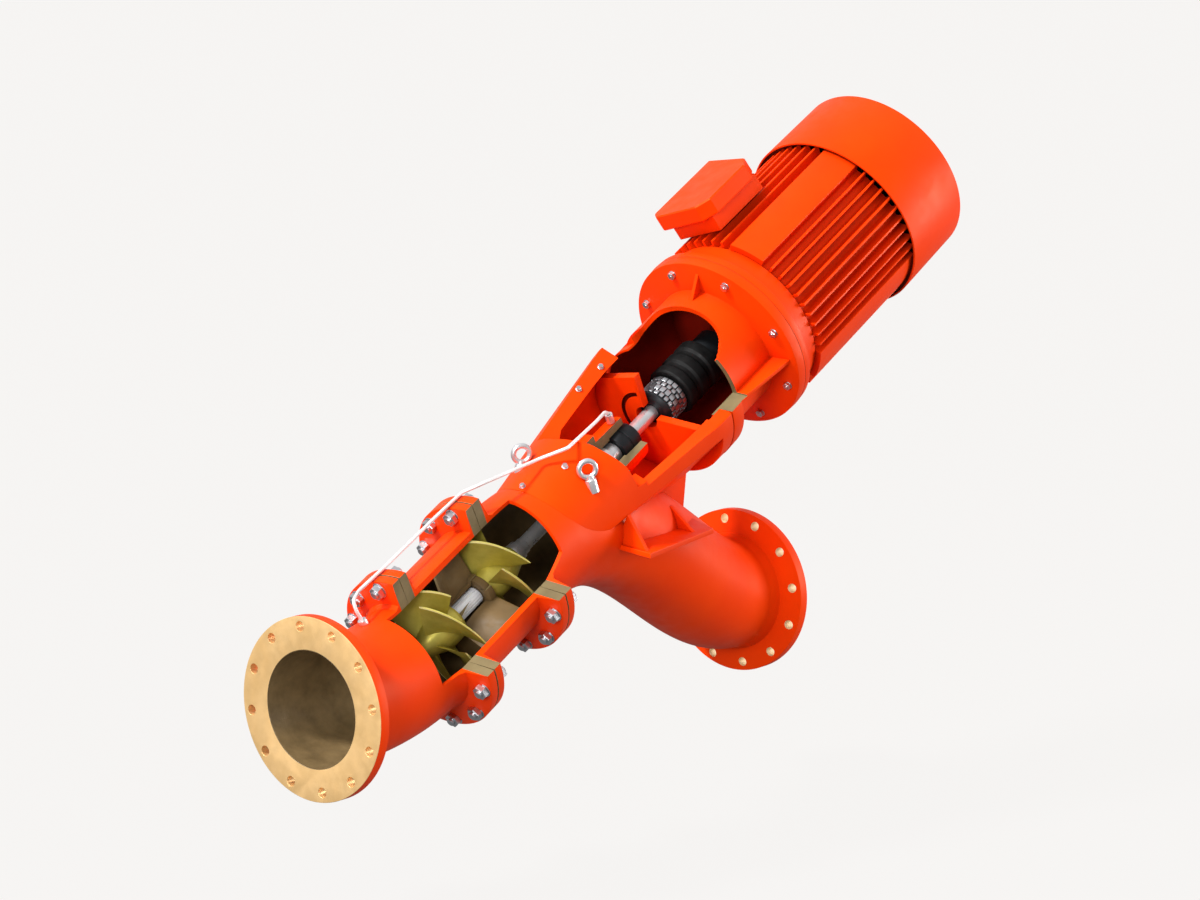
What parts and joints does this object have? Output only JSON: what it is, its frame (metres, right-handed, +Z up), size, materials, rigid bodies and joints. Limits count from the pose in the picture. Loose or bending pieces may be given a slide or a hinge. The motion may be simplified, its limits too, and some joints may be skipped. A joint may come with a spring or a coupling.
{
  "type": "propeller pump",
  "caption": "Two-stage propeller pump with inclined shaft, in-line flanged pipe ends and flange motor, cut open over a quarter to show its impellers and shaft.",
  "frame": {"origin": "on the suction flange's outer face, 160 mm straight below the bore's centre, between two bolt holes", "axes": "+X along the pipe line from suction to discharge, +Z up, -Y towards the side that is cut open"},
  "size_m": [2.0272, 0.4606, 1.3674],
  "materials": {
    "orange_paint": "semi-gloss",
    "impeller_bronze": "satin",
    "guide_vane_bronze": "matt",
    "bright_steel": "bright",
    "dark_steel": "satin",
    "black_rubber": "matt"
  },
  "bodies": {
    "pump_body": {"suction_bend": "orange_paint", "diffuser_casing": "orange_paint", "guide_vanes": "guide_vane_bronze", "interstage_bush": "guide_vane_bronze", "discharge_elbow": "orange_paint", "bearing_frame": "orange_paint", "frame_web": "orange_paint", "elbow_bracket_near": "orange_paint", "elbow_bracket_far": "orange_paint", "cross_plate": "orange_paint", "seal_housing": "orange_paint", "seal_gland": "bright_steel", "lantern": "orange_paint", "motor_end_shield": "orange_paint", "motor_frame": "orange_paint", "fan_cowl": "orange_paint", "terminal_box": "orange_paint", "terminal_box_lid": "orange_paint", "eyebolt_near": "bright_steel", "eyebolt_far": "bright_steel", "flush_line": "bright_steel", "flush_fitting": "bright_steel", "flush_clip": "bright_steel"},
    "rotor": {"pump_shaft": "bright_steel", "impeller_first": "impeller_bronze", "spacer_sleeve": "bright_steel", "impeller_second": "impeller_bronze", "impeller_nut": "bright_steel", "shaft_collar": "dark_steel", "coupling_hub_pump": "dark_steel", "coupling_element": "black_rubber", "coupling_hub_motor": "dark_steel", "motor_shaft": "bright_steel"}
  },
  "joints": [
    {"name": "shaft_rotation", "type": "hinge", "parent": "pump_body", "child": "rotor", "pos_m": [0.65801, 0, 0.41], "axis": [0.866, 0, 0.5], "continuous": true}
  ]
}
